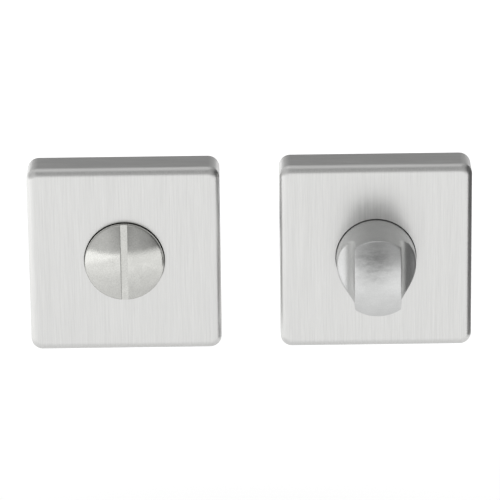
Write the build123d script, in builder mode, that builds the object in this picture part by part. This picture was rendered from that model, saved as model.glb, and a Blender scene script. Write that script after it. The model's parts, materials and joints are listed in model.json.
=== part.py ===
"""Turn and release set for a toilet door: two square roses, a thumb turn and a coin-slot release.

Millimetres, +Z up. The fronts face -Y and the door's face is the plane Y = 0. The origin is on the
spindle's axis of the turn half; the release half stands beside it towards -X. A height below is a
distance out from the door, so it is measured along -Y.
"""

import os

from build123d import *

# Roses
rose_width = 52.0
rose_depth = 11.0
rose_corner = 3.2
rose_edge_round = 2.2
sheet = 1.2
door_gap = 0.2
halves_gap = 16.0

# Turning cores: what the knob and the button have in common
stem_diameter = 15.0
shoulder_width = 3.25
shoulder_drop = 2.0
bore_gap = 0.15
bore_edge_round = 0.15
stem_end = 0.6
stem_chamfer = 0.3

# Thumb turn
knob_projection = 17.0
knob_dome = 2.8
knob_edge_round = 0.5
blade_thickness = 12.4
scoop_radius = 9.0
scoop_height = 13.2
knob_socket_depth = 13.4

# Release button
button_projection = 1.8
button_dome = 3.2
button_edge_round = 0.5
slot_width = 2.0
slot_floor_drop = 0.2
button_socket_depth = 9.9

# Spindle and its pin
spindle_width = 8.0
spindle_reach = 50.0
spindle_chamfer = 0.6
socket_gap = 0.075
spindle_end_gap = 0.2
pin_diameter = 2.5
pin_height = 5.2
pin_gap = 0.03
pin_end_gap = 0.3
pin_chamfer = 0.25

# Bearing of each core
running_gap = 0.05
face_gap = 0.03
press_gap = 0.02
bush_wall = 1.45
bush_flange = 1.2
bush_flange_inset = 0.2
bush_chamfer = 0.2
washer_thickness = 0.8
washer_bore_gap = 0.2
washer_inset = 0.35
clip_thickness = 1.0
clip_groove_depth = 0.35
clip_groove_gap = 0.05
clip_width = 2.2
clip_opening = 3.2
clip_ear_radius = 1.45
clip_ear_angle = 15.0
clip_hole_radius = 0.6
spring_sheet = 0.3
spring_rise = 0.7
spring_width = 2.4
spring_bore_gap = 0.3

# Base under each cover
cover_gap = 0.1
seat_gap = 0.3
base_edge_round = 1.2
base_skin = 2.0
base_wall = 1.8
rib = 1.6
pocket_corner = 0.8
core_recess_gap = 0.45
hub_wall = 2.8
clip_recess_gap = 1.2
clip_recess_depth = 3.6
snap_length = 12.0
snap_height = 1.2
snap_band = 0.9
snap_depth = 0.35

# Fasteners
countersink_angle = 90.0
fastener_height = 6.0
bolt_edge_distance = 7.0
bolt_diameter = 3.9
bolt_length = 45.0
bolt_head_diameter = 7.5
bolt_head_land = 0.3
bolt_seat_web = 1.7
bolt_chamfer = 0.5
boss_diameter = 11.2
sleeve_diameter = 6.4
sleeve_reach = 24.0
sleeve_bore = 4.1
sleeve_bore_depth = 26.0
sleeve_chamfer = 0.4
sleeve_flange_diameter = 8.8
sleeve_flange_flats = 7.4
sleeve_flange = 1.4
sleeve_pocket_gap = 0.6
screw_edge_distance = 9.5
screw_diameter = 3.5
screw_length = 20.0
screw_point = 3.0
screw_tip_radius = 0.2
screw_head_diameter = 7.0
screw_head_land = 0.25
screw_head_height = 5.0
screw_boss_diameter = 9.2
fastener_gap = 0.1
cross_width = 1.0
cross_length = 3.6
cross_depth = 1.5

# Sizes that follow from those above
stem_radius = stem_diameter / 2
core_radius = stem_radius + shoulder_width
bolt_radius = bolt_diameter / 2
bolt_head_radius = bolt_head_diameter / 2
sleeve_radius = sleeve_diameter / 2
screw_radius = screw_diameter / 2
screw_head_radius = screw_head_diameter / 2
shoulder_height = rose_depth - shoulder_drop
washer_height = shoulder_height - face_gap - washer_thickness
bush_top = washer_height - face_gap
bush_seat = bush_top - bush_flange
bush_radius = stem_radius + running_gap + bush_wall
spring_top = clip_recess_depth - face_gap
clip_top = spring_top - spring_rise - spring_sheet - face_gap
clip_bottom = clip_top - clip_thickness
groove_radius = stem_radius - clip_groove_depth
clip_radius = groove_radius + clip_width
clip_recess_radius = clip_radius + clip_ear_radius + clip_recess_gap
core_recess_radius = core_radius + core_recess_gap
socket_width = spindle_width + 2 * socket_gap
base_width = rose_width - 2 * (sheet + cover_gap)
base_corner = rose_corner - sheet - cover_gap
base_height = rose_depth - sheet - seat_gap
bolt_spacing = rose_width - 2 * bolt_edge_distance
screw_spacing = rose_width - 2 * screw_edge_distance
turn_centre = 0.0
release_centre = turn_centre - rose_width - halves_gap


def outward(centre, height=0.0):
    """Plane parallel to the door on one half's axis, at a height, facing away from the door."""
    return Plane(origin=(centre, -height, 0), x_dir=(1, 0, 0), z_dir=(0, -1, 0))


def section(centre):
    """Level plane through one half's axis: x is the distance from the axis, y the height."""
    return Plane(origin=(centre, 0, 0), x_dir=(1, 0, 0), z_dir=(0, 0, -1))


def core_axis(centre):
    """Turning axis of one half, pointing away from the door."""
    return Axis((centre, 0, 0), (0, -1, 0))


def save(builder, name):
    """Label a finished piece and write it as its own file."""
    builder.part.label = name
    export_step(builder.part, f"parts/{name}.step")


def bolt_places():
    """The two bolt axes, on a level line through the spindle."""
    return GridLocations(bolt_spacing, 0, 2, 1)


def screw_places():
    """The two wood screw axes, on one diagonal of the rose."""
    half_spacing = screw_spacing / 2
    return Locations((-half_spacing, half_spacing), (half_spacing, -half_spacing))


def cover(centre):
    """Pressed cover: a square cap with a round bore and four snap ridges inside its skirt."""
    with BuildPart() as shell:
        with BuildSketch(outward(centre, door_gap)):
            RectangleRounded(rose_width, rose_width, rose_corner)
        extrude(amount=rose_depth - door_gap)
        fillet(shell.faces().sort_by(Axis.Y)[0].edges(), rose_edge_round)
        offset(amount=-sheet, openings=shell.faces().sort_by(Axis.Y)[-1])
        with Locations(outward(centre, rose_depth)):
            Hole(core_radius + bore_gap, depth=2 * sheet)
        bore_edges = shell.edges(Select.LAST).filter_by(GeomType.CIRCLE)
        fillet(bore_edges.sort_by(Axis.Y)[0], bore_edge_round)
        with BuildSketch(outward(centre, snap_height)):
            with PolarLocations(rose_width / 2 - sheet, 4):
                Rectangle(2 * snap_depth, snap_length)
        extrude(amount=snap_band)
    return shell


def base(centre, holds_sleeves):
    """Moulded base: a ribbed block with a hub for the bush and seats for the fasteners."""
    with BuildPart() as plate:
        with BuildSketch(outward(centre)):
            RectangleRounded(base_width, base_width, base_corner)
        extrude(amount=base_height)
        fillet(plate.faces().sort_by(Axis.Y)[0].edges(), base_edge_round)

        # Pockets at the back, between the hub, the bosses, the ribs and the wall
        inner_width = base_width - 2 * base_wall
        with BuildSketch(outward(centre)) as pockets:
            Rectangle(inner_width, inner_width)
            Circle(core_recess_radius + hub_wall, mode=Mode.SUBTRACT)
            for turn in (0, 45, 90, 135):
                Rectangle(2 * inner_width, rib, rotation=turn, mode=Mode.SUBTRACT)
            with bolt_places():
                Circle(boss_diameter / 2, mode=Mode.SUBTRACT)
            with screw_places():
                Circle(screw_boss_diameter / 2, mode=Mode.SUBTRACT)
            fillet(pockets.vertices(), pocket_corner)
        extrude(amount=base_height - base_skin, mode=Mode.SUBTRACT)

        # Hub: room for the core's shoulder, the bush, and the spring washer and clip behind it
        with Locations(outward(centre, bush_seat)):
            CounterBoreHole(bush_radius + press_gap, core_recess_radius, 0)
        with BuildSketch(outward(centre)):
            Circle(clip_recess_radius)
        extrude(amount=clip_recess_depth, mode=Mode.SUBTRACT)

        # Grooves for the cover's snap ridges
        with BuildSketch(outward(centre, snap_height - cover_gap)):
            with PolarLocations(base_width / 2, 4):
                Rectangle(2 * snap_depth, snap_length + 2 * cover_gap)
        extrude(amount=snap_band + 2 * cover_gap, mode=Mode.SUBTRACT)

        # Wood screws
        with Locations(outward(centre, screw_head_height - screw_head_land)):
            with screw_places():
                CounterSinkHole(
                    screw_radius + fastener_gap,
                    screw_head_radius + fastener_gap,
                    counter_sink_angle=countersink_angle,
                )

        # Seats of the sleeves, or of the bolts with room behind them for the sleeves' ends
        if holds_sleeves:
            with BuildSketch(outward(centre, fastener_height - sleeve_flange)):
                with bolt_places():
                    Circle(sleeve_flange_diameter / 2 + fastener_gap)
                    Rectangle(
                        sleeve_flange_diameter + 2 * fastener_gap,
                        sleeve_flange_flats + 2 * fastener_gap,
                        mode=Mode.INTERSECT,
                    )
            extrude(amount=base_height, mode=Mode.SUBTRACT)
            with Locations(outward(centre)):
                with bolt_places():
                    Hole(sleeve_radius + fastener_gap)
        else:
            with Locations(outward(centre, fastener_height - bolt_head_land)):
                with bolt_places():
                    CounterSinkHole(
                        bolt_radius + fastener_gap,
                        bolt_head_radius + fastener_gap,
                        counter_sink_angle=countersink_angle,
                    )
            with BuildSketch(outward(centre)):
                with bolt_places():
                    Circle(sleeve_radius + sleeve_pocket_gap)
            extrude(amount=fastener_height - bolt_seat_web, mode=Mode.SUBTRACT)
    return plate


def bush(centre):
    """Flanged plain bush that carries the stem."""
    with BuildPart() as sleeve:
        with BuildSketch(outward(centre, clip_recess_depth)):
            Circle(bush_radius)
        extrude(amount=bush_top - clip_recess_depth)
        with BuildSketch(outward(centre, bush_seat)):
            Circle(core_radius - bush_flange_inset)
        extrude(amount=bush_flange)
        with Locations(outward(centre, bush_top)):
            Hole(stem_radius + running_gap)
        chamfer(sleeve.faces().sort_by(Axis.Y)[-1].edges(), bush_chamfer)
    return sleeve


def thrust_washer(centre):
    """Plastic washer that the core's shoulder turns on."""
    with BuildPart() as washer:
        with BuildSketch(outward(centre, washer_height)):
            Circle(core_radius - washer_inset)
            Circle(stem_radius + washer_bore_gap, mode=Mode.SUBTRACT)
        extrude(amount=washer_thickness)
    return washer


def spring_washer(centre):
    """Curved spring washer: a flat ring bent about an upright line, pressing the clip down."""
    inner_radius = stem_radius + spring_bore_gap
    outer_radius = inner_radius + spring_width
    bend_radius = (outer_radius**2 + spring_rise**2) / (2 * spring_rise)
    with BuildPart() as washer:
        with BuildSketch(section(centre)):
            with Locations((0, spring_top - bend_radius)):
                Circle(bend_radius)
                Circle(bend_radius - spring_sheet, mode=Mode.SUBTRACT)
            with Locations((0, spring_top)):
                Rectangle(2 * outer_radius, 2 * clip_recess_depth, mode=Mode.INTERSECT)
        extrude(amount=outer_radius, both=True)
        with BuildSketch(outward(centre)):
            Circle(outer_radius)
            Circle(inner_radius, mode=Mode.SUBTRACT)
        extrude(amount=clip_recess_depth, mode=Mode.INTERSECT)
    return washer


def circlip(centre):
    """Retaining ring in the stem's groove, open between two eared ends."""
    ears = PolarLocations(clip_radius, 2, -90 - clip_ear_angle, 2 * clip_ear_angle, endpoint=True)
    with BuildPart() as ring:
        with BuildSketch(outward(centre, clip_bottom)):
            Circle(clip_radius)
            with ears:
                Circle(clip_ear_radius)
            Circle(groove_radius + face_gap, mode=Mode.SUBTRACT)
            with Locations((0, -clip_radius)):
                Rectangle(clip_opening, 2 * (clip_width + clip_ear_radius), mode=Mode.SUBTRACT)
            with ears:
                Circle(clip_hole_radius, mode=Mode.SUBTRACT)
        extrude(amount=clip_thickness)
    return ring


def countersunk_screws(
    centre, places, height, head_radius, head_land, shank_radius, length, point, end_radius
):
    """A group of like countersunk screws, their heads outward and level with a height."""
    downward = (Align.CENTER, Align.CENTER, Align.MAX)
    with BuildPart() as screws:
        with Locations(outward(centre, height)):
            with places():
                Cylinder(head_radius, head_land, align=downward)
                Cylinder(shank_radius, length - point, align=downward)
        with Locations(outward(centre, height - head_land)):
            with places():
                Cone(shank_radius, head_radius, head_radius - shank_radius, align=downward)
        with Locations(outward(centre, height - length + point)):
            with places():
                Cone(end_radius, shank_radius, point, align=downward)
        with BuildSketch(outward(centre, height)):
            with places():
                Rectangle(cross_length, cross_width)
                Rectangle(cross_width, cross_length)
        extrude(amount=-cross_depth, mode=Mode.SUBTRACT)
    return screws


def wood_screws(centre):
    """Wood screws that hold one base on the door."""
    return countersunk_screws(
        centre,
        screw_places,
        screw_head_height,
        screw_head_radius,
        screw_head_land,
        screw_radius,
        screw_length,
        screw_point,
        screw_tip_radius,
    )


def core_points(rim_height, dome):
    """Half section of a turning core: down its axis, round its stem and out to its front rim."""
    return (
        (0, rim_height + dome),
        (0, stem_end),
        (stem_radius, stem_end),
        (stem_radius, clip_bottom - clip_groove_gap),
        (groove_radius, clip_bottom - clip_groove_gap),
        (groove_radius, clip_top + clip_groove_gap),
        (stem_radius, clip_top + clip_groove_gap),
        (stem_radius, shoulder_height),
        (core_radius, shoulder_height),
        (core_radius, rim_height),
    )


# Thumb turn: a domed cylinder, hollowed at both sides into an upright blade
knob_rim = rose_depth + knob_projection
knob_front = knob_rim + knob_dome
scoop_centre = (blade_thickness / 2 + scoop_radius, -rose_depth - scoop_height)
with BuildPart() as turn_knob:
    with BuildSketch(section(turn_centre)):
        with BuildLine():
            Polyline(*core_points(knob_rim, knob_dome))
            TangentArc((0, knob_front), (core_radius, knob_rim), tangent=(1, 0))
        make_face()
    revolve(axis=core_axis(turn_centre))
    chamfer(turn_knob.edges().filter_by(Plane.XZ).sort_by(Axis.Y)[-1], stem_chamfer)
    with BuildSketch(Plane.XY):
        with Locations(scoop_centre):
            Circle(scoop_radius)
            Rectangle(
                2 * scoop_radius,
                knob_front,
                align=(Align.CENTER, Align.MAX),
            )
        mirror(about=Plane.YZ)
    extrude(amount=core_radius, both=True, mode=Mode.SUBTRACT)
    fillet(turn_knob.edges(Select.LAST).filter_by(GeomType.LINE, reverse=True), knob_edge_round)
    with BuildSketch(outward(turn_centre)):
        Rectangle(socket_width, socket_width)
    extrude(amount=stem_end + knob_socket_depth, mode=Mode.SUBTRACT)
    with BuildSketch(Plane.YZ):
        with Locations((-pin_height, 0)):
            Circle(pin_diameter / 2 + pin_gap)
    extrude(amount=core_radius, both=True, mode=Mode.SUBTRACT)

# Release button: a low dome with a coin slot right across it
button_rim = rose_depth + button_projection
button_front = button_rim + button_dome
with BuildPart() as release_button:
    with BuildSketch(section(release_centre)):
        with BuildLine():
            Polyline(*core_points(button_rim, button_dome))
            TangentArc((0, button_front), (core_radius, button_rim), tangent=(1, 0))
        make_face()
    revolve(axis=core_axis(release_centre))
    rims = release_button.edges().filter_by(Plane.XZ).sort_by(Axis.Y)
    fillet(rims[0], button_edge_round)
    chamfer(rims[-1], stem_chamfer)
    with BuildSketch(outward(release_centre, button_rim - slot_floor_drop)):
        Rectangle(slot_width, 2 * core_radius)
    extrude(amount=button_front, mode=Mode.SUBTRACT)
    with BuildSketch(outward(release_centre)):
        Rectangle(socket_width, socket_width)
    extrude(amount=stem_end + button_socket_depth, mode=Mode.SUBTRACT)

# Square spindle, fast in the thumb turn and long enough to reach through the door
with BuildPart() as turn_spindle:
    with BuildSketch(outward(turn_centre, -spindle_reach)):
        Rectangle(spindle_width, spindle_width)
    extrude(amount=spindle_reach + stem_end + knob_socket_depth - spindle_end_gap)
    chamfer(turn_spindle.faces().filter_by(Axis.Y).edges(), spindle_chamfer)
    with BuildSketch(Plane.YZ):
        with Locations((-pin_height, 0)):
            Circle(pin_diameter / 2 + pin_gap)
    extrude(amount=spindle_width, both=True, mode=Mode.SUBTRACT)

# Pin across the stem and the spindle, shut in by the bush
with BuildPart() as spindle_pin:
    with BuildSketch(Plane.YZ):
        with Locations((-pin_height, 0)):
            Circle(pin_diameter / 2)
    extrude(amount=stem_radius - pin_end_gap, both=True)
    chamfer(spindle_pin.edges().filter_by(GeomType.CIRCLE), pin_chamfer)

# Bolts from the turn half, and the threaded sleeves of the release half that take them
turn_bolts = countersunk_screws(
    turn_centre,
    bolt_places,
    fastener_height,
    bolt_head_radius,
    bolt_head_land,
    bolt_radius,
    bolt_length,
    bolt_chamfer,
    bolt_radius - bolt_chamfer,
)
with BuildPart() as release_sleeve_nuts:
    with BuildSketch(outward(release_centre, fastener_height)):
        with bolt_places():
            Circle(sleeve_flange_diameter / 2)
            Rectangle(sleeve_flange_diameter, sleeve_flange_flats, mode=Mode.INTERSECT)
    extrude(amount=-sleeve_flange)
    with BuildSketch(outward(release_centre, -sleeve_reach)):
        with bolt_places():
            Circle(sleeve_radius)
    extrude(amount=sleeve_reach + fastener_height)
    with BuildSketch(outward(release_centre, -sleeve_reach)):
        with bolt_places():
            Circle(sleeve_bore / 2)
    extrude(amount=sleeve_bore_depth, mode=Mode.SUBTRACT)
    chamfer(release_sleeve_nuts.faces().sort_by(Axis.Y)[-2:].edges(), sleeve_chamfer)

os.makedirs("parts", exist_ok=True)
save(turn_knob, "turn_knob")
save(release_button, "release_button")
save(turn_spindle, "turn_spindle")
save(spindle_pin, "spindle_pin")
save(turn_bolts, "turn_bolts")
save(release_sleeve_nuts, "release_sleeve_nuts")
for half, centre in (("turn", turn_centre), ("release", release_centre)):
    save(cover(centre), f"{half}_cover")
    save(base(centre, half == "release"), f"{half}_base")
    save(bush(centre), f"{half}_bush")
    save(thrust_washer(centre), f"{half}_thrust_washer")
    save(spring_washer(centre), f"{half}_spring_washer")
    save(circlip(centre), f"{half}_circlip")
    save(wood_screws(centre), f"{half}_wood_screws")
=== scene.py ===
"""Toilet turn and release set: two satin stainless roses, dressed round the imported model.

Metres, +Z up. The fronts face -Y and the door's face is the plane Y = 0. The turn half stands on
the origin, and the release half beside it towards -X. A height is a distance out from the door.
"""

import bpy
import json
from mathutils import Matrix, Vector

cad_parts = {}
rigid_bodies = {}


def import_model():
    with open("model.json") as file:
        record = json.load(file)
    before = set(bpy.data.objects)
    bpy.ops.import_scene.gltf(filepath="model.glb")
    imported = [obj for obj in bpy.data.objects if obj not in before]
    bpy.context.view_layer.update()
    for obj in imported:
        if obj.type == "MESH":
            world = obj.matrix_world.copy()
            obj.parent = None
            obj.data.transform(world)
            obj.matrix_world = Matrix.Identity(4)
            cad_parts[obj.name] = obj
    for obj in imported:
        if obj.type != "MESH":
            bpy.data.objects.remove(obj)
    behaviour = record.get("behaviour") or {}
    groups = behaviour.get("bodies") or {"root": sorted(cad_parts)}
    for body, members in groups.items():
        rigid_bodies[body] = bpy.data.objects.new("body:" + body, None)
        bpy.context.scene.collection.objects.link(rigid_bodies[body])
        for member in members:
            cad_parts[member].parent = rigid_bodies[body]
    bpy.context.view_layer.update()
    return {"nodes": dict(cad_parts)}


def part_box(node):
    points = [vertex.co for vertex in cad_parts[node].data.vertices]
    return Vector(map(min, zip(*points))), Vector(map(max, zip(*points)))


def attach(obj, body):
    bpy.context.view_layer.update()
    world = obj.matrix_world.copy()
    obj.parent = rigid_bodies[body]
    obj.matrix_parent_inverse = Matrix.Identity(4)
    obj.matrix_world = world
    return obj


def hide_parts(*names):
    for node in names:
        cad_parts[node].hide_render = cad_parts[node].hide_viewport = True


bl_info = {
    "name": "Turn and release set",
    "version": (1, 0, 0),
    "blender": (4, 5, 0),
    "location": "View3D > Sidebar > Turn set",
    "description": "Finishes, modelled pieces, stage and camera of a toilet turn and release set",
    "category": "Object",
}

import json
from math import asin, cos, inf, pi, radians, sin, sqrt

import bmesh
import bpy
from bpy.props import FloatProperty, FloatVectorProperty, IntProperty, PointerProperty
from mathutils import Matrix, Quaternion, Vector

# The set is built in an empty scene
for left_over in list(bpy.data.objects):
    bpy.data.objects.remove(left_over)

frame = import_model()
nodes = frame["nodes"]

ROSES = "roses"
THUMB_TURN = "thumb_turn"
RELEASE = "release"
MERGE_DISTANCE = 0.000001

# Edges that fold by more than these are shaded sharp, bevelled as rims, or softened
SHARP_ANGLE = radians(35)
RIM_ANGLE = radians(80)
FOLD_ANGLE = radians(18)

# How finely the pieces are divided and smoothed
SECTORS = 8
CORNER_SEGMENTS = 12
EDGE_SEGMENTS = 10
RIM_SEGMENTS = 2
BORE_SEGMENTS = 128
KNOB_DOME_STEPS = 52
KNOB_SIDE_STEPS = 63
KNOB_FOOT_STEPS = 4
KNOB_SOFT_RINGS = 3
KNOB_SOFT_PASSES = 9
BUTTON_DOME_STEPS = 40
BUTTON_SIDE_STEPS = 19
BUTTON_SOFT_RINGS = 2
BUTTON_SOFT_PASSES = 4

# Width of a thread's ridge to its pitch, and of a fastener's end to its root
RIDGE_SHARE = 0.84
TIP_SHARE = 0.2

# Where nearly all of a noise's values lie
NOISE_RANGE = (0.3, 0.7)

# The share by which noise changes a roughness
ROUGHNESS_SPREAD = 0.15

# Long soft bands to one brush line
BAND_SHARE = 0.16

# The Z of a normal above which a cover's surface belongs to its top or bottom side
SIDE_FACING = 0.72

# Brightness of the studio from -X to +X and from -Y to +Y: shares of the way, and the levels there
STUDIO_X = ((0.0, 1.0), (0.2, 1.0), (0.35, 0.76), (0.5, 0.47), (0.64, 0.68), (0.79, 0.58), (1.0, 0.2))
STUDIO_Y = ((0.0, 1.0), (0.02, 0.9), (0.08, 0.79), (0.5, 0.58), (0.75, 0.85), (0.97, 0.56), (1.0, 0.48))


# Settings that a user would change


def colour_setting(name, description, default):
    """A colour between black and white, as the user picks it."""
    return FloatVectorProperty(
        name=name, description=description, default=default, size=3, subtype="COLOR", min=0.0, max=1.0
    )


def length_setting(name, description, default):
    """A real length in metres."""
    return FloatProperty(name=name, description=description, default=default, unit="LENGTH", precision=5)


def share_setting(name, description, default):
    """A share between none and all."""
    return FloatProperty(
        name=name, description=description, default=default, subtype="FACTOR", min=0.0, max=1.0
    )


def angle_setting(name, description, degrees):
    """An angle."""
    return FloatProperty(name=name, description=description, default=radians(degrees), subtype="ANGLE")


def place_setting(name, description, default):
    """A place in metres."""
    return FloatVectorProperty(
        name=name, description=description, default=default, size=3, subtype="XYZ", unit="LENGTH"
    )


def count_setting(name, description, default):
    """A whole number of parts."""
    return IntProperty(name=name, description=description, default=default, min=3)


class TurnSetSizes(bpy.types.PropertyGroup):
    """Sizes of the pieces that are modelled here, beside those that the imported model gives."""

    rose_corner: length_setting("Rose corner", "Radius of the cover's four corners", 0.0032)
    rose_edge: length_setting("Rose edge", "Radius of the cover's front edge", 0.0022)
    sheet: length_setting("Sheet", "Thickness of the cover's sheet", 0.0012)
    rim_round: length_setting("Rim round", "Radius at the bore and at the cover's back rim", 0.00015)
    bore_gap: length_setting("Bore gap", "Between a cover's bore and what turns in it", 0.00015)
    stem_radius: length_setting("Stem radius", "Radius of the stem behind each turning core", 0.0075)
    groove_radius: length_setting("Groove radius", "Radius of the groove for the retaining ring", 0.00715)
    stem_chamfer: length_setting("Stem chamfer", "Chamfer at the end of the stem", 0.0003)
    socket_width: length_setting("Socket width", "Width of the square socket in each stem", 0.00815)
    knob_socket_depth: length_setting("Thumb turn socket", "Depth of the thumb turn's socket", 0.0134)
    knob_dome: length_setting("Thumb turn dome", "Rise of the thumb turn's front", 0.0028)
    blade_thickness: length_setting("Blade thickness", "Thickness between the two scoops", 0.0124)
    scoop_radius: length_setting("Scoop radius", "Radius of the two finger scoops", 0.009)
    scoop_height: length_setting("Scoop height", "Height of the scoops' centres over the rose", 0.0132)
    button_socket_depth: length_setting("Button socket", "Depth of the button's socket", 0.0099)
    button_projection: length_setting("Button projection", "How far the button's rim stands out", 0.0018)
    button_dome: length_setting("Button dome", "Rise of the button's front", 0.0032)
    slot_width: length_setting("Slot width", "Width of the coin slot", 0.002)
    slot_drop: length_setting("Slot drop", "How far the slot's floor lies under the button's rim", 0.0002)
    turned_segments: count_setting("Turned segments", "Faces round a turning core", 320)
    thread_segments: count_setting("Thread segments", "Faces round a thread", 18)
    bolt_pitch: length_setting("Bolt pitch", "Pitch of the bolts' thread", 0.0007)
    bolt_root: length_setting("Bolt root", "Radius at the root of the bolts' thread", 0.00155)
    bolt_start: length_setting("Bolt start", "Where the bolts' thread starts, along Y", 0.006)
    bolt_point: length_setting("Bolt point", "Length of the bolts' ends past the thread", 0.0005)
    screw_pitch: length_setting("Wood screw pitch", "Pitch of the wood screws' thread", 0.0016)
    screw_root: length_setting("Wood screw root", "Radius at the root of the wood screws' thread", 0.00115)
    screw_start: length_setting("Wood screw start", "Where the wood screws' thread starts, along Y", -0.001)
    screw_point: length_setting("Wood screw point", "Length of the wood screws' points", 0.003)


class TurnSetFinishes(bpy.types.PropertyGroup):
    """Colours and finishes of the set."""

    sheet_steel: colour_setting("Stainless sheet", "Colour of the covers", (0.69, 0.69, 0.68))
    knob_steel: colour_setting("Thumb turn steel", "Colour of the thumb turn", (0.655, 0.66, 0.655))
    button_steel: colour_setting("Button steel", "Colour of the button", (0.61, 0.61, 0.585))
    sheet_roughness: share_setting("Sheet roughness", "How softly the brushed covers reflect", 0.34)
    knob_roughness: share_setting("Thumb turn roughness", "How softly the thumb turn reflects", 0.34)
    button_roughness: share_setting("Button roughness", "How softly the button reflects", 0.14)
    # The smudge is partly a real handling mark and partly painted shade that darkens the thumb turn's upper
    # front
    smudge: share_setting("Smudge", "How dark the handling mark on the thumb turn is", 0.38)
    smudge_radius: length_setting("Smudge radius", "How far the handling mark reaches", 0.0094)
    smudge_side: length_setting("Smudge sideways", "Middle of the handling mark, along X", -0.0012)
    smudge_height: length_setting("Smudge height", "Middle of the handling mark, along Z", 0.0056)
    # Painted shade in the coin slot: how much darker its floor is, how dark the corners at its walls are,
    # and how far they reach
    slot_dirt: share_setting("Slot dirt", "How much darker the slot is than the dome", 0.07)
    grime: share_setting("Grime", "How dark the grime on the slot's walls is", 0.85)
    grime_width: length_setting("Grime width", "How far the grime reaches from the slot's walls", 0.0001)
    streak_depth: length_setting("Streak depth", "Depth of the brush lines in the covers", 0.000005)
    grain_depth: length_setting("Grain depth", "Depth of the button's blasted grain", 0.000009)
    rub_depth: length_setting("Rub depth", "Depth of the rubbing marks on the thumb turn", 0.000004)
    nylon: colour_setting("Moulded nylon", "Colour of the two bases", (0.030, 0.031, 0.033))
    acetal: colour_setting("Bearing plastic", "Colour of bushes and thrust washers", (0.72, 0.71, 0.67))
    spring_steel: colour_setting("Spring steel", "Colour of washers, rings and pin", (0.3, 0.3, 0.31))
    zinc: colour_setting("Zinc plating", "Colour of the spindle and the fasteners", (0.66, 0.68, 0.7))


class TurnSetStage(bpy.types.PropertyGroup):
    """Camera, floor and light."""

    elevation: angle_setting("Elevation", "Height of the camera over the horizon", 20.0)
    roll: angle_setting("Roll", "Turn of the camera about its own axis", -0.74)
    distance: length_setting("Distance", "From the camera to what it looks at", 1.098)
    lens: FloatProperty(name="Lens", description="Focal length in millimetres", default=289.4)
    aim_side: length_setting("Aim sideways", "Where the camera looks, along X", -0.03403)
    aim_height: length_setting("Aim height", "Where the camera looks, along Z", -0.00147)
    floor_height: length_setting("Floor height", "Where the floor lies, along Z", -0.16)
    floor_width: length_setting("Floor width", "Width and length of the floor", 24.0)
    floor_colour: colour_setting("Floor colour", "Colour of the floor", (0.8, 0.8, 0.8))
    floor_glow: share_setting("Floor glow", "What the floor adds to its own light to show white", 0.74)
    shade_under: share_setting("Shade under the set", "Share of the glow right under the set", 0.6)
    shade_reach: length_setting("Shade reach", "How far the shade under the set reaches", 0.42)
    glow_left: FloatProperty(
        name="Glow at the left", description="Share of the glow at the left", default=1.42
    )
    glow_full: length_setting("Left glow full", "Where the glow at the left is full, along X", -0.62)
    glow_end: length_setting("Left glow end", "Where the glow at the left has faded, along X", -0.38)
    sweep_top: angle_setting("Sweep top", "Height of the white sweep over the horizon", 4.0)
    sweep_fade: angle_setting("Sweep fade", "Angle in which the sweep fades out", 1.6)
    sweep_level: share_setting("Sweep level", "How bright the white sweep is", 0.82)
    lamp_place: place_setting("Lamp place", "Middle of the lamp overhead", (-0.1, 0.05, 0.9))
    lamp_aim: place_setting("Lamp aim", "What the lamp overhead is turned to", (-0.034, 0.0, 0.0))
    lamp_width: length_setting("Lamp width", "Width and length of the lamp overhead", 0.7)
    lamp_level: share_setting("Lamp level", "Radiance of the lamp overhead", 0.36)
    flag_place: place_setting("Flag place", "Middle of the dark card at the right", (0.25, 0.17, 0.04))
    flag_height: length_setting("Flag height", "Height of the dark card", 0.38)
    flag_length: length_setting("Flag length", "Length of the dark card, along Y", 0.66)
    flag_colour: colour_setting("Flag colour", "Colour of the dark card", (0.22, 0.22, 0.22))


# Node helpers


def new_material(name):
    """A material with only an output and a shader, which are joined; gives its tree and shader too."""
    material = bpy.data.materials.new(name)
    material.use_nodes = True
    tree = material.node_tree
    tree.nodes.clear()
    output = tree.nodes.new("ShaderNodeOutputMaterial")
    shader = tree.nodes.new("ShaderNodeBsdfPrincipled")
    tree.links.new(shader.outputs["BSDF"], output.inputs["Surface"])
    return material, tree, shader


def joined(tree, kind, settings=None, **inputs):
    """A new node with its settings made, and its inputs set or linked by name, or by number as _0."""
    node = tree.nodes.new(kind)
    for name, value in (settings or {}).items():
        setattr(node, name, value)
    for name, value in inputs.items():
        socket = node.inputs[int(name[1:])] if name[0] == "_" else node.inputs[name.replace("_", " ")]
        if isinstance(value, bpy.types.NodeSocket):
            tree.links.new(value, socket)
        else:
            socket.default_value = value
    return node


def maths(tree, operation, first, second=0.0):
    """One value changed, or two put together."""
    return joined(tree, "ShaderNodeMath", {"operation": operation}, _0=first, _1=second).outputs[0]


def product(tree, first, *others):
    """Values multiplied by each other."""
    for other in others:
        first = maths(tree, "MULTIPLY", first, other)
    return first


def vector_maths(tree, operation, first, second):
    """Two vectors put together, which gives a number where it is their distance."""
    node = joined(tree, "ShaderNodeVectorMath", {"operation": operation}, _0=first, _1=second)
    return node.outputs["Value" if operation == "DISTANCE" else "Vector"]


def ranged(tree, value, given, wanted, way="LINEAR"):
    """A value carried over from one pair of numbers to another."""
    ends = dict(zip(("From_Min", "From_Max", "To_Min", "To_Max"), (*given, *wanted)))
    node = joined(tree, "ShaderNodeMapRange", {"interpolation_type": way}, Value=value, **ends)
    return node.outputs["Result"]


def noise(tree, result, vector, scale, detail, roughness):
    """Noise of a scale per metre, led to an output of its group."""
    node = joined(
        tree, "ShaderNodeTexNoise", Vector=vector, Scale=scale, Detail=detail, Roughness=roughness
    )
    tree.links.new(node.outputs["Fac"], result)


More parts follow.
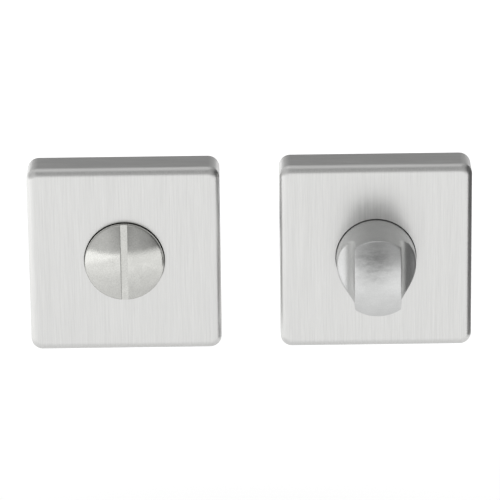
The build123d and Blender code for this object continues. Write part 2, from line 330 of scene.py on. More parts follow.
def new_group(name, numbers, outputs):
    """A shader node group with a Vector input, named number inputs and named outputs."""
    group = bpy.data.node_groups.new(name, "ShaderNodeTree")
    group.interface.new_socket("Vector", in_out="INPUT", socket_type="NodeSocketVector")
    for number in numbers:
        group.interface.new_socket(number, in_out="INPUT", socket_type="NodeSocketFloat")
    for output in outputs:
        group.interface.new_socket(output, in_out="OUTPUT", socket_type="NodeSocketFloat")
    return group, group.nodes.new("NodeGroupInput").outputs, group.nodes.new("NodeGroupOutput").inputs


def brush_lines():
    """Fine lines along the vector's Z: short scratches, and long soft bands under them."""
    group, given, result = new_group("brush_lines", ("Lines per metre", "Length ratio"), ("Lines", "Bands"))
    shrink = maths(group, "DIVIDE", 1.0, given["Length ratio"])
    stretch = joined(group, "ShaderNodeCombineXYZ", X=1.0, Y=1.0, Z=shrink).outputs[0]
    along = vector_maths(group, "MULTIPLY", given["Vector"], stretch)
    lines = given["Lines per metre"]
    bands = product(group, lines, BAND_SHARE)
    noise(group, result["Lines"], along, lines, detail=4.0, roughness=0.7)
    noise(group, result["Bands"], along, bands, detail=2.0, roughness=0.5)
    return group


def surface_grain():
    """Even fine grain over broad clouds."""
    numbers = ("Grains per metre", "Clouds per metre")
    group, given, result = new_group("surface_grain", numbers, ("Grain", "Clouds"))
    place = given["Vector"]
    noise(group, result["Grain"], place, given["Grains per metre"], detail=3.0, roughness=0.6)
    noise(group, result["Clouds"], place, given["Clouds per metre"], detail=3.0, roughness=0.55)
    return group


def placed_group(tree, make_group, vector=None, **numbers):
    """A group in a material with its numbers set, reading a vector or the object's own coordinates."""
    name = make_group.__name__
    node = tree.nodes.new("ShaderNodeGroup")
    node.node_tree = bpy.data.node_groups.get(name) or make_group()
    place = vector or tree.nodes.new("ShaderNodeTexCoord").outputs["Object"]
    tree.links.new(place, node.inputs["Vector"])
    for name, value in numbers.items():
        node.inputs[name.replace("_", " ")].default_value = value
    return node.outputs


def spread(tree, value, middle, share):
    """A value as noise gives it, spread about a number by a share of it."""
    return ranged(tree, value, NOISE_RANGE, (middle * (1 - share), middle * (1 + share)))


def tints(tree, *shares):
    """A tint about 1 from noises, each given with the share by which it changes the tint."""
    return product(tree, *(spread(tree, value, 1.0, share) for value, share in shares))


def surface(tree, shader, colour, tint, roughness, height, depth, metallic=1.0):
    """Gives a shader a tinted colour, a roughness, and bump from a height at a depth in metres."""
    tinted = joined(tree, "ShaderNodeVectorMath", {"operation": "SCALE"}, _0=colour, Scale=tint)
    bump = joined(tree, "ShaderNodeBump", Height=height, Strength=1.0, Distance=depth)
    tree.links.new(tinted.outputs["Vector"], shader.inputs["Base Color"])
    tree.links.new(roughness, shader.inputs["Roughness"])
    tree.links.new(bump.outputs["Normal"], shader.inputs["Normal"])
    shader.inputs["Metallic"].default_value = metallic


# Finishes


def grained(name, colour, metallic, grains, clouds, grain_tint, cloud_tint, roughness, depth):
    """A material with fine grain in its relief and tint, and clouds in its tint and roughness."""
    material, tree, shader = new_material(name)
    grain = placed_group(tree, surface_grain, Grains_per_metre=grains, Clouds_per_metre=clouds)
    tint = tints(tree, (grain["Grain"], grain_tint), (grain["Clouds"], cloud_tint))
    rough = spread(tree, grain["Clouds"], roughness, ROUGHNESS_SPREAD)
    surface(tree, shader, colour, tint, rough, grain["Grain"], depth, metallic)
    return material


def lengthwise(tree, vector):
    """A vector with X and Z exchanged, for lines that run along X."""
    axes = joined(tree, "ShaderNodeSeparateXYZ", Vector=vector).outputs
    return joined(tree, "ShaderNodeCombineXYZ", X=axes["Z"], Y=axes["Y"], Z=axes["X"]).outputs[0]


def brushed_sheet(finishes):
    """Satin stainless sheet: upright brush lines, and lines along X on its top and bottom sides."""
    material, tree, shader = new_material("brushed_stainless_sheet")
    given = tree.nodes.new("ShaderNodeTexCoord").outputs
    place = given["Object"]
    facing = joined(tree, "ShaderNodeSeparateXYZ", Vector=given["Normal"]).outputs
    on_side = maths(tree, "GREATER_THAN", maths(tree, "ABSOLUTE", facing["Z"]), SIDE_FACING)
    along_x = lengthwise(tree, place)
    chosen = joined(tree, "ShaderNodeMix", {"data_type": "VECTOR"}, _0=on_side, _4=place, _5=along_x)
    lines = placed_group(tree, brush_lines, chosen.outputs[1], Lines_per_metre=2300.0, Length_ratio=28.0)
    tint = tints(tree, (lines["Lines"], 0.075), (lines["Bands"], 0.013))
    rough = spread(tree, lines["Lines"], finishes.sheet_roughness, ROUGHNESS_SPREAD)
    surface(tree, shader, finishes.sheet_steel, tint, rough, lines["Lines"], finishes.streak_depth)
    return material


def rubbed_knob(finishes):
    """Solid stainless steel, blasted, with rubbing marks across it and a dark patch on its front: partly a
    handling mark, partly painted shade over its upper part.
    """
    material, tree, shader = new_material("rubbed_thumb_turn")
    place = tree.nodes.new("ShaderNodeTexCoord").outputs["Object"]
    along_x = lengthwise(tree, place)
    grain = placed_group(tree, surface_grain, place, Grains_per_metre=3000.0, Clouds_per_metre=130.0)
    marks = placed_group(tree, brush_lines, along_x, Lines_per_metre=1500.0, Length_ratio=9.0)
    wisps = placed_group(tree, brush_lines, along_x, Lines_per_metre=620.0, Length_ratio=2.6)
    # Painted shade: a broad dark patch on the front, partly a handling mark, darkest at its middle above
    # the axis
    mark = (finishes.smudge_side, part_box("turn_knob")[0].y, finishes.smudge_height)
    away = vector_maths(tree, "DISTANCE", place, mark)
    smudge_and_shade_patch = ranged(tree, away, (0.0, finishes.smudge_radius), (finishes.smudge, 0.0), "SMOOTHSTEP")
    wispy = product(tree, smudge_and_shade_patch, tints(tree, (wisps["Lines"], 0.55)))
    rubbed = tints(tree, (grain["Grain"], 0.045), (marks["Lines"], 0.03), (grain["Clouds"], 0.045))
    tint = product(tree, rubbed, maths(tree, "SUBTRACT", 1.0, wispy))

    # The clouds that are lighter are smoother too
    rough = spread(tree, grain["Clouds"], finishes.knob_roughness, -0.1)
    height = product(tree, maths(tree, "ADD", grain["Grain"], marks["Lines"]), 0.5)
    surface(tree, shader, finishes.knob_steel, tint, rough, height, finishes.rub_depth)
    return material


def blasted_button(finishes):
    """Solid stainless steel, blasted a little finer, with painted shade in its slot, darkest at the corners
    of its walls.
    """
    material, tree, shader = new_material("blasted_button")
    place = tree.nodes.new("ShaderNodeTexCoord").outputs["Object"]
    grain = placed_group(tree, surface_grain, place, Grains_per_metre=3200.0, Clouds_per_metre=420.0)
    half = bpy.context.scene.turn_set_sizes.slot_width / 2
    side = joined(tree, "ShaderNodeSeparateXYZ", Vector=place).outputs["X"]
    off_centre = maths(tree, "ABSOLUTE", maths(tree, "SUBTRACT", side, middle_of("release_button")))
    # Painted shade in the slot: its floor a little darker, the corners at its walls darker still
    reach = (half - finishes.grime_width, half)
    corner = ranged(tree, off_centre, reach, (finishes.slot_dirt, finishes.grime), "SMOOTHSTEP")
    in_slot = maths(tree, "LESS_THAN", off_centre, half + MERGE_DISTANCE)
    unshaded = maths(tree, "SUBTRACT", 1.0, product(tree, corner, in_slot))
    tint = product(tree, tints(tree, (grain["Grain"], 0.095), (grain["Clouds"], 0.05)), unshaded)
    rough = spread(tree, grain["Clouds"], finishes.button_roughness, ROUGHNESS_SPREAD)
    surface(tree, shader, finishes.button_steel, tint, rough, grain["Grain"], finishes.grain_depth)
    return material


def moulded_nylon(finishes):
    """Black moulded nylon with a fine spark-eroded texture and slight flow clouds."""
    return grained(
        "black_moulded_nylon",
        finishes.nylon,
        metallic=0.0,
        grains=5200.0,
        clouds=160.0,
        grain_tint=0.15,
        cloud_tint=0.2,
        roughness=0.5,
        depth=0.00002,
    )


def bearing_plastic(finishes):
    """Off-white machined bearing plastic, slightly waxy."""
    return grained(
        "off_white_bearing_plastic",
        finishes.acetal,
        metallic=0.0,
        grains=4200.0,
        clouds=300.0,
        grain_tint=0.02,
        cloud_tint=0.035,
        roughness=0.38,
        depth=0.000006,
    )


def oiled_spring_steel(finishes):
    """Dark hardened steel with a thin oil film."""
    return grained(
        "oiled_spring_steel",
        finishes.spring_steel,
        metallic=1.0,
        grains=6000.0,
        clouds=500.0,
        grain_tint=0.07,
        cloud_tint=0.15,
        roughness=0.3,
        depth=0.000004,
    )


def zinc_plating(finishes):
    """Bright zinc over drawn steel, cloudy and slightly blue."""
    return grained(
        "bright_zinc_plating",
        finishes.zinc,
        metallic=1.0,
        grains=2400.0,
        clouds=260.0,
        grain_tint=0.05,
        cloud_tint=0.1,
        roughness=0.33,
        depth=0.000008,
    )


made_finishes = {}


def finish(make):
    """A finish's material, made when it is first needed."""
    if make not in made_finishes:
        made_finishes[make] = make(bpy.context.scene.turn_set_finishes)
    return made_finishes[make]


def dress(make, *names):
    """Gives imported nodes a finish."""
    for name in names:
        for place in nodes[name].material_slots:
            place.material = finish(make)


# Mesh helpers


def middle_of(node):
    """Where a node's axis lies, along X."""
    low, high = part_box(node)
    return (low.x + high.x) / 2


def radius_of(node):
    """Half of a node's width."""
    low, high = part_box(node)
    return (high.x - low.x) / 2


def drawn_out(bm, start, steps, travel=(0, 0, 0), centre=(0, 0, 0), angle=0.0):
    """A profile's next stretch, drawn from a vertex in steps, straight or round a centre; gives its end."""
    step = Vector(travel) / steps
    made = bmesh.ops.spin(
        bm, geom=[start], cent=centre, axis=(0, 0, 1), dvec=step, angle=angle, steps=steps
    )
    return next(item for item in made["geom_last"] if isinstance(item, bmesh.types.BMVert))


def boundary(bm, height=None):
    """Edges with a face on one side only, all of them or those at one height."""
    return [
        edge
        for edge in bm.edges
        if edge.is_boundary
        and (height is None or all(abs(vert.co.y + height) < MERGE_DISTANCE for vert in edge.verts))
    ]


def outermost(bm, way):
    """The largest of the faces that lie furthest back, or furthest to the front where the way is -1."""
    return max(bm.faces, key=lambda face: (round(way * face.calc_center_median().y, 6), face.calc_area()))


def circle_edges(bm, radius, segments, centre, turned=0.0):
    """Edges of a new circle or polygon round a core's axis."""
    upright = Matrix.Rotation(pi / 2, 4, "X") @ Matrix.Rotation(turned, 4, "Z")
    place = Matrix.Translation(centre) @ upright
    made = bmesh.ops.create_circle(bm, cap_ends=False, radius=radius, segments=segments, matrix=place)
    return list({edge for vert in made["verts"] for edge in vert.link_edges})


def everything(bm):
    """All that a mesh holds."""
    return list(bm.verts) + list(bm.edges) + list(bm.faces)


def turn(bm, centre, segments):
    """Turns a profile round a core's axis: one sector by spinning it, and the others as its copies."""
    axis = {"cent": (centre, 0, 0), "axis": (0, 1, 0)}
    sector = 2 * pi / SECTORS
    bmesh.ops.spin(bm, geom=everything(bm), angle=sector, steps=segments // SECTORS, **axis)
    copies = SECTORS - 1
    bmesh.ops.spin(bm, geom=everything(bm), angle=sector * copies, steps=copies, use_duplicate=True, **axis)
    bmesh.ops.remove_doubles(bm, verts=bm.verts, dist=MERGE_DISTANCE)


def bevel(bm, edges, radius, segments):
    """Rounds edges."""
    bmesh.ops.bevel(
        bm,
        geom=edges,
        offset=radius,
        offset_type="OFFSET",
        segments=segments,
        profile=0.5,
        affect="EDGES",
        material=-1,
    )


def soften(bm, height, rings, passes):
    """Rounds each edge in front of a height by smoothing the points up to some rings away from it."""
    bm.normal_update()
    near = {vert for edge in bm.edges if edge.calc_face_angle(0.0) > FOLD_ANGLE for vert in edge.verts}
    for _ in range(rings):
        near |= {edge.other_vert(vert) for vert in near for edge in vert.link_edges}
    near = [vert for vert in near if vert.co.y < -height]
    for _ in range(passes):
        bmesh.ops.smooth_vert(bm, verts=near, factor=0.5, use_axis_x=True, use_axis_y=True, use_axis_z=True)


def new_object(name, bm, material):
    """An object of a mesh in one material."""
    mesh = bpy.data.meshes.new(name)
    bm.to_mesh(mesh)
    bm.free()
    mesh.materials.append(material)
    made = bpy.data.objects.new(name, mesh)
    bpy.context.scene.collection.objects.link(made)
    return made


def finished(bm, name, body, slot, make, *replaced):
    """Makes a piece of a mesh, smooth but for its sharp edges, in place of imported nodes."""
    for face in bm.faces:
        face.smooth = True
    for edge in bm.edges:
        edge.smooth = edge.calc_face_angle(0.0) < SHARP_ANGLE
    piece = new_object(name, bm, finish(make))
    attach(piece, body)
    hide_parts(*replaced)
    return piece


# Pieces


def pressed_cover(node, core_node, sizes):
    """Square cap of one sheet, rounded at its corners and front edge, with a round bore."""
    low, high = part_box(node)
    bore = radius_of(core_node) + sizes.bore_gap
    bm = bmesh.new()
    bmesh.ops.create_cube(bm, size=1.0)
    bmesh.ops.scale(bm, vec=high - low, verts=bm.verts)
    bmesh.ops.translate(bm, vec=(low + high) / 2, verts=bm.verts)
    corners = [edge for edge in bm.edges if edge.verts[0].co.y != edge.verts[1].co.y]
    bevel(bm, corners, sizes.rose_corner, CORNER_SEGMENTS)
    bevel(bm, list(outermost(bm, -1).edges), sizes.rose_edge, EDGE_SEGMENTS)
    bmesh.ops.delete(bm, geom=[outermost(bm, 1)], context="FACES_ONLY")
    inset = {"thickness": sizes.rim_round, "use_even_offset": True}
    bmesh.ops.inset_region(bm, faces=[outermost(bm, -1)], **inset)
    front = outermost(bm, -1)
    rim = list(front.edges)
    bmesh.ops.delete(bm, geom=[front], context="FACES_ONLY")
    mouth = circle_edges(bm, bore, BORE_SEGMENTS, (middle_of(node), low.y, 0))
    bmesh.ops.triangle_fill(bm, edges=rim + mouth, use_beauty=True, normal=(0, -1, 0))
    bmesh.ops.recalc_face_normals(bm, faces=bm.faces)
    bmesh.ops.solidify(bm, geom=list(bm.faces), thickness=sizes.sheet)
    rims = [edge for edge in bm.edges if edge.calc_face_angle(0.0) > RIM_ANGLE]
    bevel(bm, rims, sizes.rim_round, RIM_SEGMENTS)
    return bm


def dome_profile(bm, centre, radius, rim, rise, steps):
    """Arc of a domed front, from its rim to the axis."""
    sphere = (radius**2 + rise**2) / (2 * rise)
    start = bm.verts.new((centre + radius, -rim, 0))
    drawn_out(bm, start, steps, centre=(centre, sphere - rim - rise, 0), angle=-asin(radius / sphere))
    return start


def core_heights(half):
    """Heights of a turning core's end, groove and shoulder, from the pieces that it runs in."""
    ring_low, ring_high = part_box(f"{half}_circlip")
    washer_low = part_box(f"{half}_thrust_washer")[0]
    return -ring_high.y, -ring_low.y, -washer_low.y


def stem(bm, half, node, start, sizes, depth):
    """Stem behind a core: shoulder, groove for the retaining ring and square socket."""
    centre = middle_of(node)
    groove_back, groove_front, shoulder = core_heights(half)
    end = -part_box(node)[1].y
    outline = (
        (sizes.stem_radius, shoulder),
        (sizes.stem_radius, groove_front),
        (sizes.groove_radius, groove_front),
        (sizes.groove_radius, groove_back),
        (sizes.stem_radius, groove_back),
        (sizes.stem_radius, end + sizes.stem_chamfer),
        (sizes.stem_radius - sizes.stem_chamfer, end),
    )
    for radius, height in outline:
        start = drawn_out(bm, start, 1, (centre + radius - start.co.x, -height - start.co.y, 0))
    turn(bm, centre, sizes.turned_segments)
    mouth = boundary(bm, end)
    sides = circle_edges(bm, sizes.socket_width / sqrt(2), 4, (centre, -end, 0), pi / 4)
    bmesh.ops.triangle_fill(bm, edges=mouth + sides, use_beauty=True, normal=(0, 1, 0))
    walls = bmesh.ops.extrude_edge_only(bm, edges=sides)["geom"]
    moved = [item for item in walls if isinstance(item, bmesh.types.BMVert)]
    bmesh.ops.translate(bm, vec=(0, -depth, 0), verts=moved)
    bmesh.ops.holes_fill(bm, edges=boundary(bm), sides=0)
    bmesh.ops.recalc_face_normals(bm, faces=bm.faces)


def blade_half_width(height, sizes):
    """Half the thumb turn's width between its scoops, at a height over the rose."""
    half = sizes.blade_thickness / 2
    below = sizes.scoop_height - height
    if below <= 0:
        return half
    if below >= sizes.scoop_radius:
        return inf
    return half + sizes.scoop_radius - sqrt(sizes.scoop_radius**2 - below**2)


def thumb_turn(sizes):
    """Domed cylinder, hollowed at both sides into an upright blade, with its stem."""
    face = -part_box("turn_cover")[0].y
    radius = radius_of("turn_knob")
    rim = -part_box("turn_knob")[0].y - sizes.knob_dome
    shoulder = core_heights("turn")[2]
    foot = face + sizes.scoop_height - sizes.scoop_radius
    bm = bmesh.new()
    start = dome_profile(bm, 0.0, radius, rim, sizes.knob_dome, KNOB_DOME_STEPS)
    side = drawn_out(bm, start, KNOB_SIDE_STEPS, (0, rim - foot, 0))
    corner = drawn_out(bm, side, KNOB_FOOT_STEPS, (0, foot - shoulder, 0))
    stem(bm, "turn", "turn_knob", corner, sizes, sizes.knob_socket_depth)
    for vert in bm.verts:
        if -vert.co.y > face:
            half = blade_half_width(-vert.co.y - face, sizes)
            vert.co.x = max(-half, min(half, vert.co.x))
    soften(bm, face, KNOB_SOFT_RINGS, KNOB_SOFT_PASSES)
    return bm


def coin_button(sizes):
    """Low dome with a coin slot right across it, and its stem."""
    centre = middle_of("release_button")
    radius = radius_of("release_button")
    shoulder = core_heights("release")[2]
    half = sizes.slot_width / 2
    face = -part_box("release_cover")[0].y
    rim = face + sizes.button_projection
    bottom = rim - sizes.slot_drop
    bm = bmesh.new()
    start = dome_profile(bm, centre, radius, rim, sizes.button_dome, BUTTON_DOME_STEPS)
    corner = drawn_out(bm, start, BUTTON_SIDE_STEPS, (0, rim - shoulder, 0))
    stem(bm, "release", "release_button", corner, sizes, sizes.button_socket_depth)
    soften(bm, face, BUTTON_SOFT_RINGS, BUTTON_SOFT_PASSES)
    left = (centre - half, 0, 0)
    right = (centre + half, 0, 0)
    under = (centre, -bottom, 0)
    for place, normal in ((left, (1, 0, 0)), (right, (1, 0, 0)), (under, (0, 1, 0))):
        bmesh.ops.bisect_plane(bm, geom=everything(bm), plane_co=place, plane_no=normal)
    inside = []
    for piece in bm.faces:
        middle = piece.calc_center_median()
        if abs(middle.x - centre) < half and middle.y < -bottom:
            inside.append(piece)
    bmesh.ops.delete(bm, geom=inside, context="FACES")
    above = -bottom - MERGE_DISTANCE
    cut = [edge for edge in boundary(bm) if min(vert.co.y for vert in edge.verts) < above]
    walls = bmesh.ops.extrude_edge_only(bm, edges=cut)["geom"]
    for item in walls:
        if isinstance(item, bmesh.types.BMVert):
            item.co.y = -bottom
    bmesh.ops.remove_doubles(bm, verts=bm.verts, dist=MERGE_DISTANCE)
    bmesh.ops.dissolve_degenerate(bm, edges=bm.edges, dist=MERGE_DISTANCE)
    bmesh.ops.holes_fill(bm, edges=boundary(bm), sides=0)
    bmesh.ops.recalc_face_normals(bm, faces=bm.faces)
    return bm


def rod(bm, centre, level, start, end, first, last, segments):
    """Round rod along Y, from one radius to another."""
    lying = Matrix.Translation((centre, (start + end) / 2, level)) @ Matrix.Rotation(-pi / 2, 4, "X")
    bmesh.ops.create_cone(
        bm, cap_ends=True, segments=segments, radius1=first, radius2=last, depth=end - start, matrix=lying
    )


def thread(bm, centre, level, start, end, root, crest, pitch, segments):
    """Threaded length of a fastener that points away from the front: a rod and a ridge wound round it."""
    rod(bm, centre, level, start, end, root, root, segments)
    inner = root * cos(pi / segments)
    half = pitch * RIDGE_SHARE / 2
    turns = int((end - start - 2 * half) / pitch)
    ridge = bmesh.new()
    outline = ((inner, start), (crest, start + half), (inner, start + 2 * half))
    corners = [ridge.verts.new((centre + radius, place, level)) for radius, place in outline]
    for corner, following in zip(corners, corners[1:] + corners[:1]):
        ridge.edges.new((corner, following))
    axis = {"cent": (centre, 0, level), "axis": (0, 1, 0)}
    step = (0, pitch / segments, 0)
    bmesh.ops.spin(ridge, geom=everything(ridge), dvec=step, angle=2 * pi, steps=segments, **axis)
    copies = {"dvec": (0, pitch, 0), "angle": 0, "steps": turns - 1, "use_duplicate": True}
    bmesh.ops.spin(ridge, geom=everything(ridge), **copies, **axis)
    bmesh.ops.remove_doubles(ridge, verts=ridge.verts, dist=MERGE_DISTANCE)
    bmesh.ops.holes_fill(ridge, edges=boundary(ridge), sides=0)
    carried = bpy.data.meshes.new("ridge")
    ridge.to_mesh(carried)
    ridge.free()
    bm.from_mesh(carried)
    bpy.data.meshes.remove(carried)


def threaded(node, cut, root, pitch, point, segments):
    """Two like fasteners side by side: heads and necks as packed, threaded from a cut to their points."""
    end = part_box(node)[1].y
    bm = bmesh.new()
    bm.from_mesh(nodes[node].data)
    bmesh.ops.remove_doubles(bm, verts=bm.verts, dist=MERGE_DISTANCE)
    level_cut = {"plane_co": (0, cut, 0), "plane_no": (0, 1, 0)}
    bmesh.ops.bisect_plane(bm, geom=everything(bm), clear_outer=True, **level_cut)
    loops = boundary(bm)
    middle = middle_of(node)
    rings = {}
    for vert in {vert for edge in loops for vert in edge.verts}:
        rings.setdefault(vert.co.x > middle, []).append(vert.co.copy())
    bmesh.ops.holes_fill(bm, edges=loops, sides=0)
    for side in sorted(rings):
        across = [place.x for place in rings[side]]
        upright = [place.z for place in rings[side]]
        centre = (min(across) + max(across)) / 2
        level = (min(upright) + max(upright)) / 2
        crest = (max(across) - min(across)) / 2
        thread(bm, centre, level, cut, end - point, root, crest, pitch, segments)
        rod(bm, centre, level, end - point, end, root, root * TIP_SHARE, segments)
    bmesh.ops.recalc_face_normals(bm, faces=bm.faces)
    return bm


# Stage


def world_light(settings):
    """Studio round the set: a white sweep at the horizon, and brightest at the front and on the left."""
    world = bpy.data.worlds.new("studio")
    world.use_nodes = True
    tree = world.node_tree
    tree.nodes.clear()
    direction = tree.nodes.new("ShaderNodeTexCoord")
    split = joined(tree, "ShaderNodeSeparateXYZ", Vector=direction.outputs["Generated"]).outputs
    levels = []
    for axis, stops in (("X", STUDIO_X), ("Y", STUDIO_Y)):
        share = ranged(tree, split[axis], (-1.0, 1.0), (0.0, 1.0))
        ramp = joined(tree, "ShaderNodeValToRGB", Fac=share)
        elements = ramp.color_ramp.elements
        for position, level in stops[1:-1]:
            elements.new(position).color = (level, level, level, 1.0)
        elements[0].color = (stops[0][1],) * 3 + (1.0,)
        elements[-1].color = (stops[-1][1],) * 3 + (1.0,)
        levels.append(ramp.outputs["Color"])
    studio = vector_maths(tree, "MULTIPLY", *levels)
    heights = (sin(settings.sweep_top), sin(settings.sweep_top + settings.sweep_fade))
    sweep = ranged(tree, split["Z"], heights, (settings.sweep_level, 0.0), "SMOOTHSTEP")
    lit = vector_maths(tree, "MAXIMUM", studio, sweep)
    background = joined(tree, "ShaderNodeBackground", Color=lit, Strength=1.0)
    output = tree.nodes.new("ShaderNodeOutputWorld")
    tree.links.new(background.outputs[0], output.inputs["Surface"])
    bpy.context.scene.world = world


def plain_material(name, colour):
    """A dull even material of the stage."""
    material, tree, shader = new_material(name)
    shader.inputs["Base Color"].default_value = (*colour, 1.0)
    shader.inputs["Roughness"].default_value = 1.0
    shader.inputs["Specular IOR Level"].default_value = 0.0
    return material, tree, shader


def floor_material(settings):
    """Pale floor that shows white to the eye and to metal, and keeps the set's shadow."""
    material, tree, shader = plain_material("pale_floor", settings.floor_colour)
    rays = tree.nodes.new("ShaderNodeLightPath").outputs
    seen = maths(tree, "ADD", rays["Is Camera Ray"], rays["Is Glossy Ray"])
    seen = maths(tree, "ADD", seen, rays["Is Transmission Ray"])
    place = tree.nodes.new("ShaderNodeTexCoord").outputs["Object"]
    # Painted light in the floor's glow: a painted shadow under the set, and a painted pool of light towards
    # -X
    under = (settings.aim_side, 0.0, settings.floor_height)
    away = vector_maths(tree, "DISTANCE", place, under)
    near = ranged(tree, away, (0.0, settings.shade_reach), (settings.shade_under, 1.0), "SMOOTHSTEP")
    side = joined(tree, "ShaderNodeSeparateXYZ", Vector=place).outputs["X"]
    fading = (settings.glow_full, settings.glow_end)
    left = ranged(tree, side, fading, (settings.glow_left, 1.0), "SMOOTHSTEP")
    glow = product(tree, near, left, settings.floor_glow, seen)
    tree.links.new(glow, shader.inputs["Emission Strength"])
    shader.inputs["Emission Color"].default_value = (1.0, 1.0, 1.0, 1.0)
    return material


def board(name, width, height, matrix, material):
    """A flat board of the stage."""
    bm = bmesh.new()
    bmesh.ops.create_grid(bm, x_segments=1, y_segments=1, size=0.5)
    bmesh.ops.scale(bm, vec=(width, height, 1.0), verts=bm.verts)
    bmesh.ops.transform(bm, matrix=matrix, verts=bm.verts)
    made = new_object(name, bm, material)
    return made


def stand(name, data, place, rotation):
    """An object of the stage at a place, turned by a quaternion."""
    made = bpy.data.objects.new(name, data)
    made.location = place
    made.rotation_mode = "QUATERNION"
    made.rotation_quaternion = rotation
    bpy.context.scene.collection.objects.link(made)
    return made


def overhead_lamp(settings):
    """Soft square lamp of an even radiance, turned to the set and out of the camera's sight."""
    width = settings.lamp_width
    lamp = bpy.data.lights.new("overhead_softbox", "AREA")
    lamp.shape = "SQUARE"
    lamp.size = width
    lamp.energy = settings.lamp_level * pi * width**2
    down = settings.lamp_aim - settings.lamp_place
    made = stand("overhead_softbox", lamp, settings.lamp_place, down.to_track_quat("-Z", "Y"))
    made.visible_camera = False


def camera(settings):
    """Long lens a little above the set, as the picture was taken."""
    data = bpy.data.cameras.new("camera")
    data.lens = settings.lens
    data.sensor_width = 36.0
    data.clip_start = 0.01
    data.clip_end = 100.0
    aim = Vector((settings.aim_side, 0.0, settings.aim_height))
    back = Vector((0.0, -cos(settings.elevation), sin(settings.elevation)))
    rotation = Quaternion(back, settings.roll) @ (-back).to_track_quat("-Z", "Y")
    bpy.context.scene.camera = stand("camera", data, aim + back * settings.distance, rotation)


# Operators


class TURNSET_OT_covers(bpy.types.Operator):
    """Model the two pressed covers and finish them as brushed stainless sheet"""

    bl_idname = "turnset.covers"
    bl_label = "Covers"

    def execute(self, context):
        sizes = context.scene.turn_set_sizes
        for half, core in (("turn", "turn_knob"), ("release", "release_button")):
            node = f"{half}_cover"
            bm = pressed_cover(node, core, sizes)
            piece = finished(bm, f"{half}_rose_cover", ROSES, "satin_sheet", brushed_sheet, node)
            piece.modifiers.new("weighted_normals", "WEIGHTED_NORMAL").keep_sharp = True
        return {"FINISHED"}


class TURNSET_OT_thumb_turn(bpy.types.Operator):
    """Model the thumb turn with its scoops and stem, in blasted stainless steel"""

    bl_idname = "turnset.thumb_turn"
    bl_label = "Thumb turn"

    def execute(self, context):
        bm = thumb_turn(context.scene.turn_set_sizes)
        finished(bm, "thumb_turn_knob", THUMB_TURN, "satin_solid", rubbed_knob, "turn_knob")
        return {"FINISHED"}


class TURNSET_OT_button(bpy.types.Operator):
    """Model the release button with its coin slot and stem, in blasted stainless steel"""

    bl_idname = "turnset.button"
    bl_label = "Release button"

    def execute(self, context):
        bm = coin_button(context.scene.turn_set_sizes)
        finished(bm, "coin_release_button", RELEASE, "satin_solid", blasted_button, "release_button")
        return {"FINISHED"}


class TURNSET_OT_bases(bpy.types.Operator):
    """Finish the two moulded bases under the covers"""

    bl_idname = "turnset.bases"
    bl_label = "Bases"

    def execute(self, context):
        dress(moulded_nylon, "turn_base", "release_base")
        return {"FINISHED"}


class TURNSET_OT_bearings(bpy.types.Operator):
    """Finish the bushes and washers that the cores turn in, and the rings and pin that hold them"""

    bl_idname = "turnset.bearings"
    bl_label = "Bearings"

    def execute(self, context):
        for half in ("turn", "release"):
            dress(bearing_plastic, f"{half}_bush", f"{half}_thrust_washer")
            dress(oiled_spring_steel, f"{half}_spring_washer", f"{half}_circlip")
        dress(oiled_spring_steel, "spindle_pin")
        return {"FINISHED"}


class TURNSET_OT_fasteners(bpy.types.Operator):
    """Model the threads of the bolts and wood screws, and finish them, the sleeves and the spindle"""

    bl_idname = "turnset.fasteners"
    bl_label = "Spindle and fasteners"

    def execute(self, context):
        sizes = context.scene.turn_set_sizes
        segments = sizes.thread_segments
        bolt = (sizes.bolt_start, sizes.bolt_root, sizes.bolt_pitch, sizes.bolt_point, segments)
        screw = (sizes.screw_start, sizes.screw_root, sizes.screw_pitch, sizes.screw_point, segments)
        bolts = threaded("turn_bolts", *bolt)
        finished(bolts, "turn_threaded_bolts", ROSES, "zinc_plated", zinc_plating, "turn_bolts")
        for half in ("turn", "release"):
            node = f"{half}_wood_screws"
            screws = threaded(node, *screw)
            finished(screws, f"{half}_threaded_wood_screws", ROSES, "zinc_plated", zinc_plating, node)
        dress(zinc_plating, "turn_spindle", "release_sleeve_nuts")
        return {"FINISHED"}


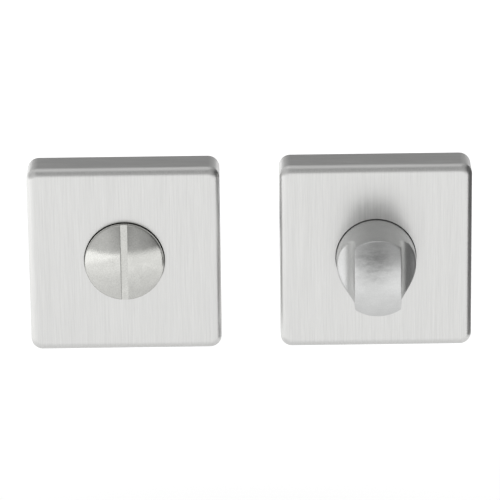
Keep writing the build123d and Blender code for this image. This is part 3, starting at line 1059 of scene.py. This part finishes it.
class TURNSET_OT_stage(bpy.types.Operator):
    """Set up the floor, the studio light and the camera"""

    bl_idname = "turnset.stage"
    bl_label = "Stage"

    def execute(self, context):
        settings = context.scene.turn_set_stage
        context.scene.view_settings.view_transform = "Standard"
        world_light(settings)
        lying = Matrix.Translation((0, 0, settings.floor_height))
        board("floor", settings.floor_width, settings.floor_width, lying, floor_material(settings))
        upright = Matrix.Translation(settings.flag_place) @ Matrix.Rotation(pi / 2, 4, "Y")
        card = plain_material("dark_card", settings.flag_colour)[0]
        flag = board("dark_flag", settings.flag_height, settings.flag_length, upright, card)
        flag.visible_camera = False
        flag.visible_diffuse = False
        flag.visible_shadow = False
        overhead_lamp(settings)
        camera(settings)
        return {"FINISHED"}


PIECE_OPERATORS = (
    TURNSET_OT_covers,
    TURNSET_OT_thumb_turn,
    TURNSET_OT_button,
    TURNSET_OT_bases,
    TURNSET_OT_bearings,
    TURNSET_OT_fasteners,
    TURNSET_OT_stage,
)


class TURNSET_PT_panel(bpy.types.Panel):
    """Lists the steps that dress the set, and its settings"""

    bl_idname = "TURNSET_PT_panel"
    bl_label = "Turn and release set"
    bl_space_type = "VIEW_3D"
    bl_region_type = "UI"
    bl_category = "Turn set"

    def draw(self, context):
        for operator in PIECE_OPERATORS:
            self.layout.operator(operator.bl_idname)
        scene = context.scene
        for settings in (scene.turn_set_sizes, scene.turn_set_finishes, scene.turn_set_stage):
            box = self.layout.box()
            for name in settings.bl_rna.properties.keys():
                if name not in ("rna_type", "name"):
                    box.prop(settings, name)


CLASSES = (TurnSetSizes, TurnSetFinishes, TurnSetStage, *PIECE_OPERATORS, TURNSET_PT_panel)


def register():
    """Makes the operators, the panel and the settings known to Blender."""
    for cls in CLASSES:
        bpy.utils.register_class(cls)
    bpy.types.Scene.turn_set_sizes = PointerProperty(type=TurnSetSizes)
    bpy.types.Scene.turn_set_finishes = PointerProperty(type=TurnSetFinishes)
    bpy.types.Scene.turn_set_stage = PointerProperty(type=TurnSetStage)


def unregister():
    """Takes the settings, the panel and the operators out of Blender again."""
    del bpy.types.Scene.turn_set_stage
    del bpy.types.Scene.turn_set_finishes
    del bpy.types.Scene.turn_set_sizes
    for cls in reversed(CLASSES):
        bpy.utils.unregister_class(cls)


def main():
    """Dresses the whole set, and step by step."""
    register()
    for operator in PIECE_OPERATORS:
        group, name = operator.bl_idname.split(".")
        getattr(getattr(bpy.ops, group), name)()


if __name__ == "__main__":
    main()
